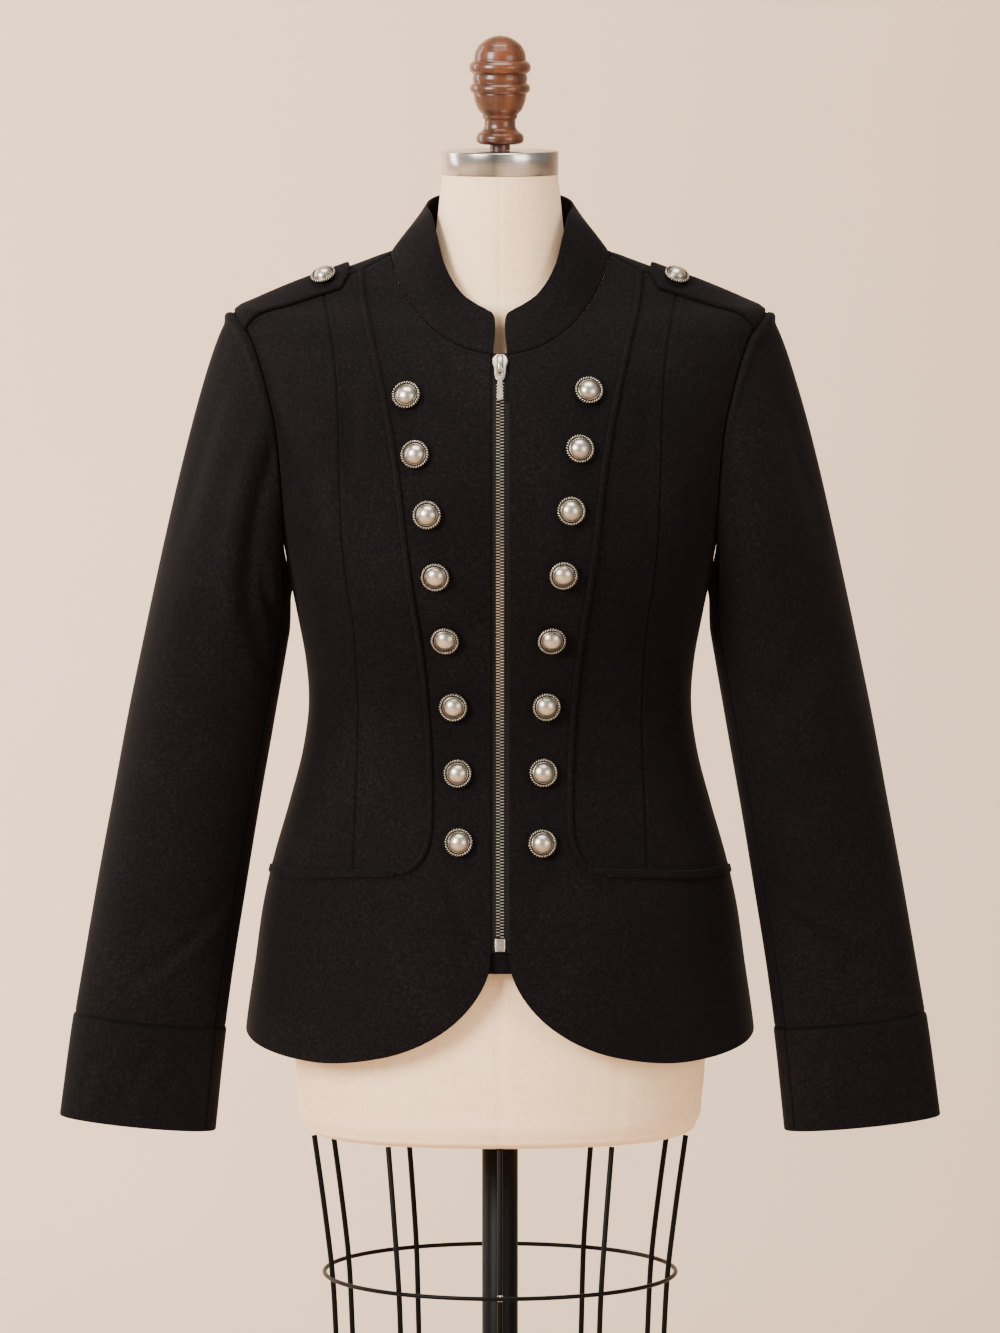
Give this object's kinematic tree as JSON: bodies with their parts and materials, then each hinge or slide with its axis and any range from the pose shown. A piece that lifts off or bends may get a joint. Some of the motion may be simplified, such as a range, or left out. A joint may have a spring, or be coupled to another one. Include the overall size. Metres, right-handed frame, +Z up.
{
  "type": "band jacket on dress form",
  "caption": "Fitted black military band jacket with stand collar, zip front, two rows of domed buttons and cutaway peplum, worn by a limbless dress form on a pole.",
  "frame": {"origin": "Centre of the bounding box's bottom, on the floor under the pole.", "axes": "+Z is up along the pole. The jacket's front faces -Y. The wearer's left is towards +X."},
  "size_m": [0.643, 0.36, 1.4311],
  "materials": {
    "cloth": "black suiting with a fine twill",
    "zip_tape": "black woven zip tape",
    "silver": "antique silver, brown in the hollows",
    "nickel": "satin nickel",
    "linen": "natural linen, fine weave",
    "steel": "brushed steel",
    "wood": "polished reddish brown wood",
    "black_metal": "black powder coat"
  },
  "bodies": {
    "garment": {"back_centre": "cloth", "back_side_left": "cloth", "back_side_right": "cloth", "button_epaulette_left": "silver", "button_epaulette_right": "silver", "button_left_1": "silver", "button_left_2": "silver", "button_left_3": "silver", "button_left_4": "silver", "button_left_5": "silver", "button_left_6": "silver", "button_left_7": "silver", "button_left_8": "silver", "button_right_1": "silver", "button_right_2": "silver", "button_right_3": "silver", "button_right_4": "silver", "button_right_5": "silver", "button_right_6": "silver", "button_right_7": "silver", "button_right_8": "silver", "cage_ring_lower": "black_metal", "cage_ring_upper": "black_metal", "cage_rod_left_1": "black_metal", "cage_rod_left_2": "black_metal", "cage_rod_left_3": "black_metal", "cage_rod_left_4": "black_metal", "cage_rod_right_1": "black_metal", "cage_rod_right_2": "black_metal", "cage_rod_right_3": "black_metal", "cage_rod_right_4": "black_metal", "collar": "cloth", "cuff_left": "cloth", "cuff_right": "cloth", "epaulette_left": "cloth", "epaulette_right": "cloth", "finial": "wood", "form_torso": "linen", "front_centre_left": "cloth", "front_centre_right": "cloth", "front_middle_left": "cloth", "front_middle_right": "cloth", "front_side_left": "cloth", "front_side_right": "cloth", "neck_cap": "steel", "piping_left": "cloth", "piping_right": "cloth", "sleeve_top_left": "cloth", "sleeve_top_right": "cloth", "sleeve_under_left": "cloth", "sleeve_under_right": "cloth", "stand_base": "black_metal", "stand_pole": "black_metal", "welt_left": "cloth", "welt_right": "cloth", "zip_chain": "nickel", "zip_guard": "cloth", "zip_slider": "nickel", "zip_tape": "zip_tape"},
    "pull_tab": {"zip_pull": "nickel"}
  },
  "joints": [
    {"name": "pull_tab_hinge", "type": "hinge", "parent": "garment", "child": "pull_tab", "pos_m": [0, -0.09479, 1.19482], "axis": [-1, 0, 0], "range_deg": [0, 120]}
  ]
}
